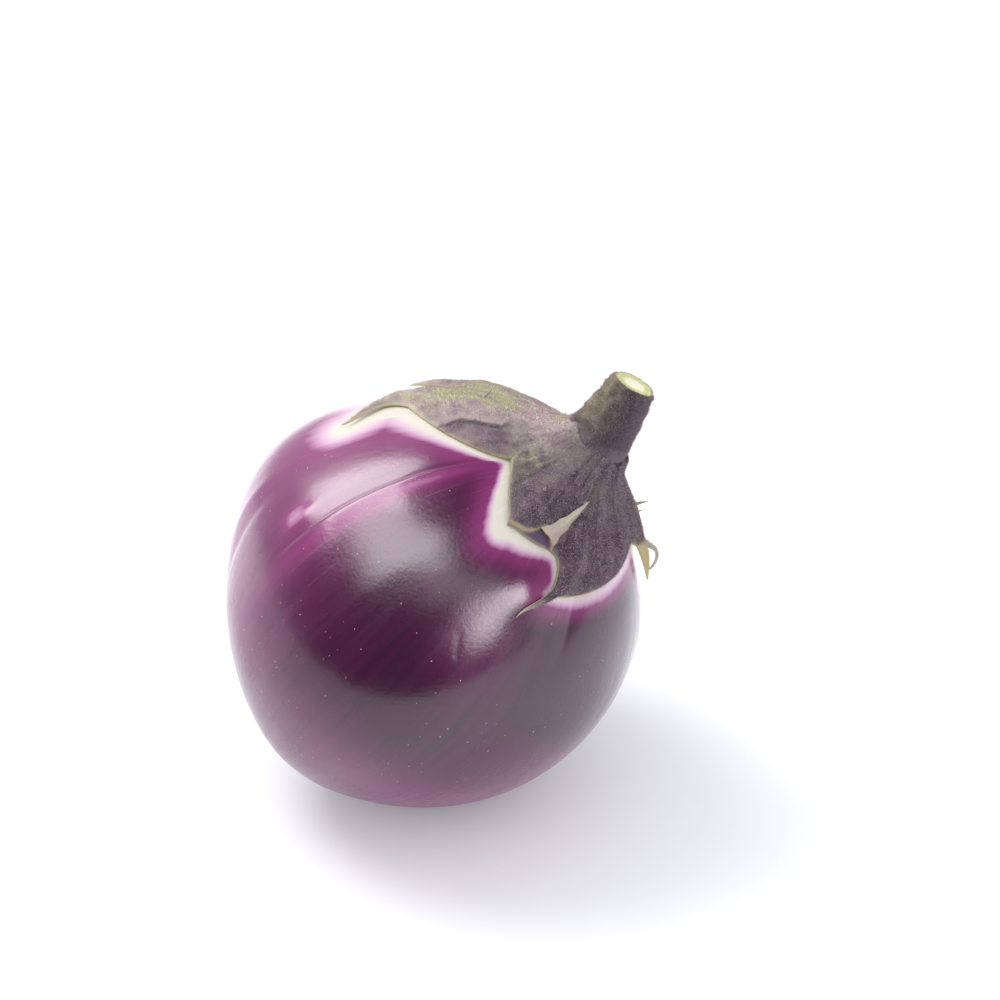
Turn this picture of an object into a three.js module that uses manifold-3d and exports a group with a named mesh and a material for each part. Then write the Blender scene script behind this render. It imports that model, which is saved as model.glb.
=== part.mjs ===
// A round violet eggplant as picked. The glossy fruit lies on a small flat spot with its stalk leaning up,
// and a felted calyx of six pointed sepals grips its shoulder. Millimetres, +Z up, origin on the flat spot
// straight below the middle of the fruit.
import * as THREE from "three";
import { mergeVertices } from "three/addons/utils/BufferGeometryUtils.js";
import Module from "manifold-3d";

// Driving dimensions, in millimetres and degrees. A latitude is the angle from the stalk's pole, and an
// azimuth turns about the fruit's axis: 0 faces -Y and 90 is the downhill side.
const FRUIT = { radius: 51.1, stalkHalf: 50.4, blossomHalf: 51.3, lean: 40, centreHeight: 50.1 };
const LOBES = [
  { azimuth: -105, swell: 2.6, width: 24 },
  { azimuth: -8, swell: 2.7, width: 28 },
  { azimuth: 60, swell: -0.4, width: 28 },
  { azimuth: 155, swell: 0.9, width: 30 },
];
// Local swells: low on the uphill side, at the blossom end, a flat above the first, and the shoulder that
// rises beside the front sepal's tip.
const SWELLS = [
  { azimuth: -100, latitude: 92, swell: 1.5, wide: 28, high: 24 },
  { azimuth: -10, latitude: 150, swell: 2.5, wide: 45, high: 22 },
  { azimuth: -106, latitude: 68, swell: -0.8, wide: 26, high: 14 },
  { azimuth: 5, latitude: 42, swell: 1.5, wide: 13, high: 8 },
];
// Folds down the fruit. Each is a groove with a steep side and a gentle side. The first is a crease with a
// raised lip beyond it that fades into the next lobe.
const FOLDS = [
  { azimuth: -56, depth: 0.45, steep: 0.7, gentle: 0.9, lip: 1.3, lipWide: 8, from: 18, to: 96 },
  { azimuth: 30, depth: 0.9, steep: 9, gentle: 16, lip: 0, lipWide: 8, from: 26, to: 78 },
  { azimuth: -150, depth: 1.0, steep: 8, gentle: 14, lip: 0, lipWide: 8, from: 22, to: 92 },
];
const BLOSSOM_SCAR = { radius: 5, depth: 1.3 };
const REST_SPOT_CLEAR = 30;

// Sepals in order round the calyx. lobe is the latitude where the blade ends and tip where its awn ends;
// before and after bow the blade's two edges; sweep turns the awn sideways; lift raises the end off the fruit;
// ridge shifts the midrib from the blade's middle.
const SEPALS = [
  { azimuth: -17.5, lobe: 31.5, tip: 32.5, before: 1.5, after: 0.6, sweep: 0, lift: 0.4, ridge: 0 },
  { azimuth: 18, lobe: 41, tip: 50, before: 5, after: 1.4, sweep: -11, lift: 0, ridge: 14 },
  { azimuth: 103, lobe: 32, tip: 42, before: 1.5, after: 1.3, sweep: -11, lift: 2.2, ridge: 0 },
  { azimuth: 165, lobe: 41, tip: 54, before: 0.9, after: 1.1, sweep: 6, lift: 1.5, ridge: 0 },
  { azimuth: -138, lobe: 47, tip: 57, before: 1.0, after: 0.8, sweep: 14, lift: 1.9, ridge: 0 },
  { azimuth: -99, lobe: 49, tip: 64, before: 0.45, after: 0.8, sweep: 11, lift: 0.6, ridge: 11 },
];
// The notch after each sepal, before the next one.
const NOTCHES = [
  { azimuth: 4, latitude: 30 },
  { azimuth: 86, latitude: 27 },
  { azimuth: 136, latitude: 24 },
  { azimuth: -166, latitude: 25 },
  { azimuth: -115, latitude: 43 },
  { azimuth: -56, latitude: 20 },
];
// The small front sepal's point is folded back and lies up the calyx as a grey spike.
const FOLDED_TIP = {
  latitudes: [28.5, 22.5, 16.5],
  azimuths: [1, 6.5, 15],
  width: 6.2,
  thick: 1.1,
  stand: 1.5,
  steps: 9,
};
const AWN_WIDTH = 4.5;
const SWEEP_LENGTH = 14;
const SKIN_GAP = 0.3;
const CALYX = { edge: 1.0, rise: 2.9, falloff: 8.5, collar: 6.2, collarWidth: 4.2, collarTurn: 9 };
const KEEL = { height: 1.4, wide: 11 };

// The stalk is bent: its cut end is uphill of the fruit's axis and a little to +Y.
const STALK = { seatRadius: 7.9, footGap: 0.3, ribs: 5, ribDepth: 0.4 };
const BEND = { from: 56, uphill: 3.6, back: 2.0, power: 1.4 };
// Height above the fruit's middle and radius, from the collar to the chamfered cut.
const STALK_PROFILE = [
  [59, 7.9],
  [61.5, 7.6],
  [64.5, 7.2],
  [68, 6.7],
  [71.5, 6.15],
  [75, 5.6],
  [77, 5.35],
  [77.5, 4.9],
];

// Prickles on the midribs: azimuth, latitude, length and how far each leans outwards.
const PRICKLES = [
  { azimuth: -117, latitude: 31, length: 3.4, lean: -35 },
  { azimuth: -18, latitude: 20.5, length: 1.2, lean: 20 },
  { azimuth: 118, latitude: 28, length: 3.6, lean: 0 },
  { azimuth: -164, latitude: 21, length: 4.4, lean: -5 },
  { azimuth: 166, latitude: 31, length: 4.0, lean: 25 },
  { azimuth: 103, latitude: 20, length: 2.6, lean: 10 },
  { azimuth: -139, latitude: 36, length: 3.2, lean: 30 },
];
const PRICKLE = { radius: 0.55, sides: 5, root: 1.2 };

const FRUIT_RINGS = 36;
const FRUIT_STEPS = 84;
const SEPAL_STEPS = 9;
const CALYX_RINGS = 13;
const STALK_STEPS = 30;

const rad = THREE.MathUtils.degToRad;
const wasm = await Module();
wasm.setup();

// The shortest turn from one azimuth to another, in degrees.
const turn = (from, to) => ((((to - from) % 360) + 540) % 360) - 180;
const bell = (x, width) => Math.exp(-((x / width) ** 2));
const smooth = (x, from, to) => {
  const k = THREE.MathUtils.clamp((x - from) / (to - from), 0, 1);
  return k * k * (3 - 2 * k);
};

// A point at a distance from the axis and a height along it, on the side of an azimuth.
function atAzimuth(azimuth, out, height) {
  return new THREE.Vector3(Math.sin(rad(azimuth)) * out, -Math.cos(rad(azimuth)) * out, height);
}

// How far a fold cuts into the fruit, less how far its lip stands out.
function foldDepth(fold, latitude, azimuth) {
  const aside = turn(fold.azimuth, azimuth);
  const width = aside > 0 ? fold.steep : fold.gentle;
  const along = smooth(latitude, fold.from, fold.from + 14) * (1 - smooth(latitude, fold.to - 40, fold.to));
  const lip = fold.lip * smooth(aside, -0.4, 1.2) * Math.exp(-Math.max(aside, 0) / fold.lipWide);
  return along * (fold.depth * Math.exp(-Math.abs(aside) / width) - lip);
}

// The fruit's skin in its own axis frame, centred on the middle of the fruit.
function skin(latitude, azimuth) {
  const side = Math.sin(rad(latitude));
  const up = Math.cos(rad(latitude));
  let swell = -0.8;
  for (const lobe of LOBES) swell += lobe.swell * bell(turn(lobe.azimuth, azimuth), lobe.width);
  const half = up > 0 ? FRUIT.stalkHalf : FRUIT.blossomHalf;
  const point = atAzimuth(azimuth, FRUIT.radius * side + swell * side * side, half * up);
  let relief = 0;
  for (const bump of SWELLS) {
    relief += bump.swell * bell(turn(bump.azimuth, azimuth), bump.wide) * bell(latitude - bump.latitude, bump.high);
  }
  for (const fold of FOLDS) relief -= foldDepth(fold, latitude, azimuth);
  const scar = (180 - latitude) / 180 * Math.PI * FRUIT.blossomHalf;
  relief -= BLOSSOM_SCAR.depth * bell(scar, BLOSSOM_SCAR.radius);
  return point.addScaledVector(point.clone().normalize(), relief);
}

// The latitude where the calyx ends, and the sepal that an azimuth belongs to.
function calyxEdge(azimuth) {
  for (let i = 0; i < SEPALS.length; i++) {
    const sepal = SEPALS[i];
    const aside = turn(sepal.azimuth, azimuth);
    const notch = aside < 0 ? NOTCHES[(i + NOTCHES.length - 1) % NOTCHES.length] : NOTCHES[i];
    const reach = Math.abs(turn(sepal.azimuth, notch.azimuth));
    if (Math.abs(aside) > reach + 1e-6 || aside * turn(sepal.azimuth, notch.azimuth) < 0) continue;
    const share = Math.max(0, 1 - Math.abs(aside) / reach);
    const blade = (sepal.lobe - notch.latitude) * share ** (aside < 0 ? sepal.before : sepal.after);
    const awn = (sepal.tip - sepal.lobe) * Math.max(0, 1 - Math.abs(aside) / AWN_WIDTH) ** 1.3;
    return { sepal, aside, latitude: notch.latitude + blade + awn };
  }
  throw new Error("no sepal holds azimuth " + azimuth);
}

const collarLatitude = THREE.MathUtils.radToDeg(Math.asin((STALK.seatRadius + SKIN_GAP) / FRUIT.radius));

// A point of the calyx: at a latitude, and at a share of its thickness from the skin outwards.
function calyxPoint(azimuth, latitude, layer) {
  const { sepal, aside, latitude: end } = calyxEdge(azimuth);
  const swept = sepal.sweep * smooth(latitude, sepal.tip - SWEEP_LENGTH, sepal.tip);
  const share = (latitude - collarLatitude) / (end - collarLatitude);
  const inward = rad(end - latitude) * FRUIT.radius;
  const fromCollar = rad(latitude - collarLatitude) * FRUIT.radius;
  const keel = KEEL.height * bell(aside - sepal.ridge, KEEL.wide) * smooth(share, 0, 0.25) *
    (1 - smooth(share, 0.75, 1));
  const thick = CALYX.edge + CALYX.rise * (1 - Math.exp(-inward / CALYX.falloff)) +
    CALYX.collar * Math.exp(-fromCollar / CALYX.collarWidth) + keel;
  const raised = sepal.lift * smooth(latitude, sepal.lobe - 12, sepal.tip) ** 1.5;
  const point = skin(latitude, azimuth + swept * bell(aside, 30));
  // Beside the stalk the thickness is measured along the axis, so the hole's wall is straight.
  const way = new THREE.Vector3(0, 0, 1).lerp(point.clone().normalize(), smooth(fromCollar, 0, CALYX.collarTurn));
  return point.addScaledVector(way.normalize(), SKIN_GAP + raised + layer * thick);
}

// A closed surface through rings of points. A ring of one point is a pole.
function closedSkin(rings) {
  const points = [];
  const starts = rings.map((ring) => points.push(...ring) - ring.length);
  const faces = [];
  for (let i = 0; i + 1 < rings.length; i++) {
    const [a, b] = [rings[i].length, rings[i + 1].length];
    const steps = Math.max(a, b);
    for (let j = 0; j < steps; j++) {
      const next = (j + 1) % steps;
      if (a > 1) faces.push(starts[i] + j, starts[i + 1] + (b > 1 ? j : 0), starts[i] + next);
      if (b > 1) faces.push(starts[i] + (a > 1 ? next : 0), starts[i + 1] + j, starts[i + 1] + next);
    }
  }
  const geometry = new THREE.BufferGeometry().setFromPoints(points);
  geometry.setIndex(faces);
  return geometry;
}

// The same rings joined end to end, as a body with a hole down its middle.
function ringSkin(rings) {
  const steps = rings[0].length;
  const faces = [];
  rings.forEach((ring, i) => {
    const [from, to] = [i * steps, ((i + 1) % rings.length) * steps];
    for (let j = 0; j < steps; j++) {
      const next = (j + 1) % steps;
      faces.push(from + j, to + j, from + next, from + next, to + j, to + next);
    }
  });
  const geometry = new THREE.BufferGeometry().setFromPoints(rings.flat());
  geometry.setIndex(faces);
  return geometry;
}

function solid(geometry) {
  const plain = new THREE.BufferGeometry().setAttribute("position", geometry.getAttribute("position"));
  plain.setIndex(geometry.index);
  const merged = mergeVertices(plain, 1e-4);
  return new wasm.Manifold(new wasm.Mesh({
    numProp: 3,
    vertProperties: merged.attributes.position.array,
    triVerts: new Uint32Array(merged.index.array),
  }));
}

function geometryOf(body) {
  const mesh = body.getMesh();
  const geometry = new THREE.BufferGeometry();
  geometry.setAttribute("position", new THREE.BufferAttribute(new Float32Array(mesh.vertProperties), 3));
  geometry.setIndex(new THREE.BufferAttribute(new Uint32Array(mesh.triVerts), 1));
  return geometry;
}

function named(name, geometry, color, roughness) {
  geometry.computeVertexNormals();
  const mesh = new THREE.Mesh(geometry, new THREE.MeshStandardMaterial({ color, roughness, metalness: 0 }));
  mesh.name = name;
  return mesh;
}

// The frame of the fruit's axis: it leans downhill, and its middle is above the origin.
const axisFrame = new THREE.Group();
axisFrame.rotation.y = rad(FRUIT.lean);
axisFrame.position.z = FRUIT.centreHeight;
axisFrame.updateMatrixWorld(true);

// The fruit, cut level where it rests.
function fruit() {
  const rings = [];
  for (let i = 0; i <= FRUIT_RINGS; i++) {
    const latitude = 180 * i / FRUIT_RINGS;
    const pole = i === 0 || i === FRUIT_RINGS;
    const ring = [];
    for (let j = 0; j < (pole ? 1 : FRUIT_STEPS); j++) {
      ring.push(skin(latitude, FOLDS[0].azimuth + 360 * j / FRUIT_STEPS));
    }
    rings.push(ring);
  }
  const whole = closedSkin(rings).applyMatrix4(axisFrame.matrixWorld);
  const below = new THREE.BoxGeometry(2 * REST_SPOT_CLEAR, 2 * REST_SPOT_CLEAR, REST_SPOT_CLEAR);
  below.translate(0, 0, -REST_SPOT_CLEAR / 2);
  return geometryOf(solid(whole).subtract(solid(below)));
}

// Azimuths round the calyx, closer together towards each sepal's awn.
function calyxAzimuths() {
  const azimuths = [];
  SEPALS.forEach((sepal, i) => {
    const before = turn(sepal.azimuth, NOTCHES[(i + NOTCHES.length - 1) % NOTCHES.length].azimuth);
    const after = turn(sepal.azimuth, NOTCHES[i].azimuth);
    for (let k = SEPAL_STEPS; k > 0; k--) azimuths.push(sepal.azimuth + before * (k / SEPAL_STEPS) ** 1.5);
    for (let k = 0; k < SEPAL_STEPS; k++) azimuths.push(sepal.azimuth + after * (k / SEPAL_STEPS) ** 1.5);
  });
  return azimuths;
}

// One five-sided prickle, rooted in the calyx.
function prickle({ azimuth, latitude, length, lean }) {
  const foot = calyxPoint(azimuth, latitude, 1);
  const outward = foot.clone().normalize();
  const onward = calyxPoint(azimuth, latitude + 2, 1).sub(foot).normalize();
  const way = outward.multiplyScalar(Math.cos(rad(lean))).addScaledVector(onward, Math.sin(rad(lean)));
  const cone = new THREE.ConeGeometry(PRICKLE.radius, length + PRICKLE.root, PRICKLE.sides);
  cone.translate(0, (length + PRICKLE.root) / 2 - PRICKLE.root, 0);
  cone.applyQuaternion(new THREE.Quaternion().setFromUnitVectors(new THREE.Vector3(0, 1, 0), way.normalize()));
  return solid(cone.translate(foot.x, foot.y, foot.z));
}

// The folded-back point of the front sepal: a tapering spike with a ridged back, sunk into the calyx at its root.
function foldedTip() {
  const { latitudes, azimuths, width, thick, stand, steps } = FOLDED_TIP;
  const through = latitudes.map((latitude, i) => {
    const foot = calyxPoint(azimuths[i], latitude, 1);
    return foot.addScaledVector(foot.clone().normalize(), stand * (i / 2) - 0.1);
  });
  const path = new THREE.CatmullRomCurve3(through);
  const rings = [];
  for (let i = 0; i < steps; i++) {
    const share = i / steps;
    const centre = path.getPoint(share);
    const outward = centre.clone().normalize();
    const across = path.getTangent(share).cross(outward).normalize();
    const half = width / 2 * (1 - share) ** 0.8;
    const corner = (side, up) => centre.clone().addScaledVector(across, side * half).addScaledVector(outward, up);
    const back = thick * (1 - 0.5 * share);
    rings.push([corner(-1, 0), corner(0, -1.2), corner(1, 0), corner(0, back)]);
  }
  const root = rings[0][0].clone().lerp(rings[0][2], 0.5);
  return solid(closedSkin([[root], ...rings, [path.getPoint(1)]]));
}

// The calyx: a thick cap with a hole for the stalk, thinning to six pointed sepals.
function calyx() {
  const azimuths = calyxAzimuths();
  const ring = (share, layer) => azimuths.map((azimuth) => {
    const latitude = collarLatitude + (calyxEdge(azimuth).latitude - collarLatitude) * share;
    return calyxPoint(azimuth, latitude, layer);
  });
  const shares = [];
  for (let i = 0; i <= CALYX_RINGS; i++) shares.push((i / CALYX_RINGS) ** 1.25);
  const rings = shares.map((share) => ring(share, 1));
  rings.push(...shares.reverse().map((share) => ring(share, 0)));
  let body = solid(ringSkin(rings)).add(foldedTip());
  for (const one of PRICKLES) body = body.add(prickle(one));
  return geometryOf(body);
}

// The middle of the bent stalk at a height.
function stalkMiddle(height) {
  const top = STALK_PROFILE.at(-1)[0];
  const share = Math.max(0, (height - BEND.from) / (top - BEND.from)) ** BEND.power;
  return new THREE.Vector3(-BEND.uphill * share, BEND.back * share, height);
}

// The stalk: it stands on the fruit inside the calyx, and rises ribbed and bent to a square cut.
function stalk() {
  const azimuths = [];
  for (let j = 0; j < STALK_STEPS; j++) azimuths.push(360 * j / STALK_STEPS);
  const up = new THREE.Vector3(0, 0, 1);
  const ring = (height, radius) => {
    const middle = stalkMiddle(height);
    const way = stalkMiddle(height + 0.1).sub(middle).normalize();
    const tilt = new THREE.Quaternion().setFromUnitVectors(up, way);
    const ribbed = STALK.ribDepth * smooth(height, STALK_PROFILE[0][0], STALK_PROFILE[0][0] + 4);
    return azimuths.map((azimuth) => {
      const rib = ribbed * Math.cos(STALK.ribs * rad(azimuth - SEPALS[0].azimuth));
      return atAzimuth(azimuth, radius + rib, 0).applyQuaternion(tilt).add(middle);
    });
  };
  const footLatitude = THREE.MathUtils.radToDeg(Math.asin(STALK.seatRadius / FRUIT.radius));
  const foot = FRUIT.stalkHalf * Math.cos(rad(footLatitude)) + STALK.footGap + 0.2;
  const bottom = azimuths.map((azimuth) => atAzimuth(azimuth, STALK.seatRadius, foot));
  const rings = [[stalkMiddle(STALK_PROFILE.at(-1)[0])]];
  for (const [height, radius] of [...STALK_PROFILE].reverse()) rings.push(ring(height, radius));
  rings.push(bottom);
  rings.push([new THREE.Vector3(0, 0, FRUIT.stalkHalf + STALK.footGap)]);
  return closedSkin(rings);
}

const eggplant = new THREE.Group();
eggplant.add(named("fruit", fruit(), "#5b2350", 0.2));
axisFrame.add(named("calyx", calyx(), "#6b5d63", 0.85));
axisFrame.add(named("stalk", stalk(), "#716459", 0.8));
eggplant.add(axisFrame);

export default eggplant;
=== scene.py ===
import itertools
import math

import bpy
import numpy as np
from mathutils import Matrix, Vector
from mathutils.kdtree import KDTree


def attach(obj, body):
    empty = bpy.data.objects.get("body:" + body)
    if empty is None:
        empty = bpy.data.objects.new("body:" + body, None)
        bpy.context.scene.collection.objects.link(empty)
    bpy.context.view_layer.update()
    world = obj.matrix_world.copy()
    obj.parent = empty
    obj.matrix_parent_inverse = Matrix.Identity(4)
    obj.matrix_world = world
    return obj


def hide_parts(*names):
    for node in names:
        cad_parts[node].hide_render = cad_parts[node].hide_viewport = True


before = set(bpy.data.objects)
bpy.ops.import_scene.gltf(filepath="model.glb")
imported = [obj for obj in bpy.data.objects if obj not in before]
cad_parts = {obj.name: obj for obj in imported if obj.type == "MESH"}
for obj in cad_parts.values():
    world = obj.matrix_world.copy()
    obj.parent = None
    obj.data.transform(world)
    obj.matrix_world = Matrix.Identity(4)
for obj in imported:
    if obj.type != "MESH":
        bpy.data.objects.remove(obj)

bl_info = {
    "name": "Round Eggplant",
    "version": (1, 0, 0),
    "blender": (4, 5, 0),
    "location": "3D View > Sidebar > Eggplant",
    "description": "A round violet eggplant with a felted calyx and a cut stalk",
    "category": "Add Mesh",
}

# Shape values are millimetres and degrees. A latitude is the angle from the stalk's pole, and an azimuth
# turns about the fruit's axis: 0 faces -Y and 90 is the downhill side.
MM = 0.001
# One degree on the fruit's widest ring.
MM_PER_DEGREE = 0.9


def rows_of(keys, *rows):
    """Rows of values as dictionaries with the same keys."""
    return [dict(zip(keys.split(), row)) for row in rows]


# How far the skin between the lobes lies inside the radius, and the dimple of the blossom end.
PLAIN_SWELL = -0.8
SCAR = {"deep": 1.3, "wide": 5}
LOBES = rows_of("azimuth swell wide", (-105, 2.6, 24), (-8, 2.7, 28), (60, -0.4, 28), (155, 0.9, 30))
SWELLS = rows_of(
    "azimuth latitude swell wide high",
    (-100, 92, 1.5, 28, 24),
    (-10, 150, 2.5, 45, 22),
    (-106, 68, -0.8, 26, 14),
    (5, 42, 1.5, 13, 8),
)
# A fold is a groove, steeper on its far side. Some have a raised lip beyond it that fades into the next lobe.
FOLDS = rows_of(
    "azimuth depth steep gentle lip lip_wide start end",
    (-56, 0.45, 0.7, 0.9, 1.3, 8, 18, 96),
    (30, 0.9, 9, 16, 0, 8, 26, 78),
    (-150, 1.0, 8, 14, 0, 8, 22, 92),
)
# Small raised welts, and long shallow grooves where the height is below zero.
WELTS = rows_of(
    "azimuth latitude height wide long",
    (-61, 79, 0.55, 2.2, 5),
    (-76, 104, -0.35, 1.6, 13),
    (-82, 99, 0.3, 1.8, 12),
    (21, 57, -0.12, 3.0, 12),
)
# A healed scratch from one latitude and azimuth to another, and a faint scuff beside it.
SCRATCH = {"start": (61.5, -4.5), "end": (67.5, -0.5), "wide": 0.35, "deep": 0.12}
SCUFF = {"latitude": 64.5, "azimuth": -7, "across": 4, "along": 2.6}

# Of each sepal: the azimuth of its middle, the latitudes where its blade and its awn end, how sharply it
# narrows before and after its middle, how far the awn sweeps aside and stands off the skin, where its keel
# lies, whether the awn shades the skin, and the awn's width against the plain one.
SEPALS = rows_of(
    "azimuth lobe tip before after sweep lift ridge shade slim",
    (-17.5, 31.5, 32.5, 1.5, 0.6, 0, 0.4, 0, 1, 1),
    (18, 41, 50, 5, 1.4, -11, 0, 14, 0, 0.7),
    (103, 32, 40, 1.5, 1.3, -11, 1.5, 0, 1, 0.6),
    (165, 41, 54, 0.9, 1.1, 6, 1.5, 0, 1, 1),
    (-138, 47, 57, 1.0, 0.8, 14, 1.2, 0, 1, 1),
    (-99, 49, 64, 0.45, 0.8, 11, 0.6, 11, 1, 1),
)
FRONT_SEPAL, DOWNHILL_SEPAL = 1, 2
NOTCHES = rows_of("azimuth latitude", (4, 30), (86, 27), (136, 24), (-166, 25), (-115, 43), (-56, 20))
AWN_WIDTH = 4.5
SWEEP_LENGTH, SWEEP_WIDTH = 14, 30
SKIN_GAP = 0.3
KEEL = {"height": 1.4, "wide": 11}
COLLAR_TURN = 9
# A wavy crease along the uphill sepal, pale above and violet grey below: latitude, azimuth. A strip
# above it is a painted highlight, and the darker face below it is partly painted shade.
RIDGE_LINE = [
    (18, -90), (22.5, -76.5), (25, -76.5), (28.5, -78), (31.5, -78.5), (35, -79), (39.5, -80.5), (43.5, -84),
    (50, -88),
]
# The front sepal's felted face ends in a pale line short of its margin, and beyond it the leaf is bare:
# azimuth, latitude.
PALE_LINE = [(-19, 32.3), (-15, 31), (-10, 30.3), (-6.5, 29), (-3.5, 26.5), (0, 26.5), (6, 28.5), (9, 31)]
FOLDED_TIP = {
    "latitudes": (28.5, 22.5, 16.5),
    "azimuths": (1, 6.5, 15),
    "width": 4.96,
    "thick": 0.55,
    "stand": 1.5,
}
# The curled tip's path: latitude, azimuth and height above the skin.
CURLED_TIP = {
    "path": ((29, 101, 1.0), (34, 105.5, 2.8), (37, 105, 4.4), (39, 102, 3.8), (40, 99, 1.9)),
    "width": 3.8,
    "thick": 0.4,
}
PRICKLES = rows_of(
    "azimuth latitude length lean",
    (-103, 28, 3.0, -35),
    (-18, 20.5, 1.9, 20),
    (118, 28, 3.6, 0),
    (-164, 21, 3.0, -5),
    (166, 31, 4.0, 25),
    (103, 20, 2.6, 10),
    (-154, 27, 1.6, 30),
)
# Height and radius along the stalk.
STALK_PROFILE = [
    (59, 7.9), (61.5, 7.6), (64.5, 7.2), (68, 6.7), (71.5, 6.15), (75, 5.6), (77, 5.35), (77.5, 4.9),
]
STALK_BEND = {"start": 56, "uphill": 3.6, "back": 2.0, "power": 1.4}
STALK_RIBS = {"count": 5, "depth": 0.4}
# Height where the rings close up for the sharp edge of the cut.
STALK_EDGE = 76.6

# Rings of the cut end, as shares of its radius.
CUT_SHARES = (0.86, 0.72, 0.56, 0.4, 0.24, 0.1)

# The bleached skin beside the calyx, by azimuth: its width, then the width over which it turns to magenta.
PALE_BAND = [
    (-180, 2.6, 4), (-150, 3.5, 6), (-128, 4.0, 14), (-112, 2.4, 17), (-100, 1.0, 15), (-90, 0.7, 13),
    (-84, 0.7, 11), (-78, 0.9, 8), (-72, 1.1, 5), (-64, 1.0, 2.8), (-56, 1.0, 1.6), (-44, 1.7, 1.6),
    (-34, 2.6, 2.0), (-24, 3.6, 3.0), (-16, 3.2, 4.6), (-6, 1.8, 4.6), (4, 1.0, 3.0), (13, 0.6, 1.8),
    (20, 0.5, 2.6), (30, 1.2, 2.8), (50, 1.6, 2.6), (70, 1.1, 2.6), (95, 1.6, 3.0), (130, 2.6, 4),
    (180, 2.6, 4),
]
# Olive patches on the calyx: latitude, azimuth, their half sizes and how green they are. Then the violet one.
OLIVE_PATCHES = [
    (38, -98, 9, 7, 1.0), (25, -104, 5, 14, 1.1), (31, -116, 9, 12, 1.0), (16.5, -52, 5, 20, 0.42),
    (32, -138, 9, 10, 0.8), (28, 166, 7, 10, 0.7), (24, 104, 6, 9, 0.4), (12, -135, 5, 30, 0.6),
]
VIOLET_PATCH = (31.5, -5, 2.2, 10)
# Where the ripe skin is paler: how much, then latitude, azimuth and half sizes.
PALER_PATCHES = [(0.10, 90, -52, 26, 18), (0.18, 62, 2, 14, 14)]
# Latitude, azimuth and half sizes of the paler skin round the high welt, a painted highlight, and along
# the deep fold's lip.
WELT_PAINTED_HIGHLIGHT = (81, -62, 6, 3.5)
LIP_PATCH = (58, -52, 34, 4)
# The tone of the magenta between the bleached band and the ripe skin.
BRIGHT_TONE = 0.44

# How fine the meshes are.
SKIN_RINGS, SKIN_STEPS = 236, 380
CALYX_OUTER_RINGS, CALYX_INNER_RINGS, SEPAL_STEPS = 72, 22, 54
STALK_RINGS, STALK_EDGE_RINGS, STALK_STEPS = 84, 6, 120
TIP_RINGS, TIP_STEPS = 40, 17
PRICKLE_RINGS, PRICKLE_STEPS = 7, 9

# Colour and hairs of the loose points and of the prickles, from 0 to 1.
TIP_LOOK = {"bloom_and_painted_light": 0.8, "olive": 0.35, "violet": 0.0, "rim": 0.1, "scatter": 0.5}
PRICKLE_LOOK = {"bloom_and_painted_light": 0.4, "olive": 0.25, "violet": 0.0, "rim": 0.1, "scatter": 0.0}

# Azimuth from +Y towards +X and elevation, in degrees, as seen from the fruit. Then distance, width and
# height in metres, power in watts, whether the lamp lights surfaces or only shows in their gloss, and the
# share of its face that is evenly bright.
LAMPS = [
    ("Key_left", -72, 58, 1.0, 0.62, 0.62, 7.6, "diffuse", 0.55),
    ("Softbox_left", -83, 57, 0.95, 0.90, 0.66, 21.0, "gloss", 0.8),
    ("Softbox_above", -152, 60, 0.95, 1.20, 0.56, 17.5, "gloss", 0.35),
    ("Softbox_front", 160, 44, 0.95, 0.85, 0.50, 3.2, "gloss", 0.1),
    ("Card_right", 131, 20, 0.75, 0.58, 0.50, 10.5, "gloss", 0.4),
]
# The lens in millimetres, and how far the camera moves right and up from the fruit's middle, in metres.
LENS = 95.4
CAMERA_SHIFT = (0.01565, 0.0242)


def hex_linear(code):
    """An sRGB hex colour as linear red, green and blue."""
    parts = [int(code[i : i + 2], 16) / 255 for i in (1, 3, 5)]
    return tuple(c / 12.92 if c <= 0.04045 else ((c + 0.055) / 1.055) ** 2.4 for c in parts)


def length_of(name, description, mm):
    return bpy.props.FloatProperty(
        name=name, description=description, default=mm * MM, unit="LENGTH", precision=5
    )


def colour_of(name, description, code):
    return bpy.props.FloatVectorProperty(
        name=name, description=description, default=hex_linear(code), size=3, min=0, max=1, subtype="COLOR"
    )


def angle_of(name, description, degrees):
    return bpy.props.FloatProperty(
        name=name, description=description, default=math.radians(degrees), subtype="ANGLE"
    )


def count_of(name, description, count):
    return bpy.props.IntProperty(name=name, description=description, default=count, min=10)


class FruitSettings(bpy.types.PropertyGroup):
    radius: length_of("Radius", "Half the fruit's width across its axis", 51.1)
    stalk_half: length_of("Stalk half", "From the middle of the fruit to the stalk's pole", 50.4)
    blossom_half: length_of("Blossom half", "From the middle of the fruit to the blossom end", 51.3)
    centre_height: length_of("Centre height", "Height of the fruit's middle above the floor", 50.1)
    lean: angle_of("Lean", "How far the stalk leans from upright", 40)
    cream: colour_of("Cream", "Skin that the calyx has shaded", "#e6e0d2")
    lilac: colour_of("Lilac", "Skin at the edge of the bleached band", "#cf9dbf")
    magenta: colour_of("Magenta", "Young, bright skin", "#8a3470")
    purple: colour_of("Purple", "Riper skin", "#672253")
    aubergine: colour_of("Aubergine", "Fully coloured skin", "#3f1534")
    pore_count: count_of("Pores", "Pale pores on the skin", 560)
    gloss: bpy.props.FloatProperty(
        name="Roughness", description="Roughness of the waxy skin", default=0.23, min=0, max=1,
        subtype="FACTOR",
    )


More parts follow.
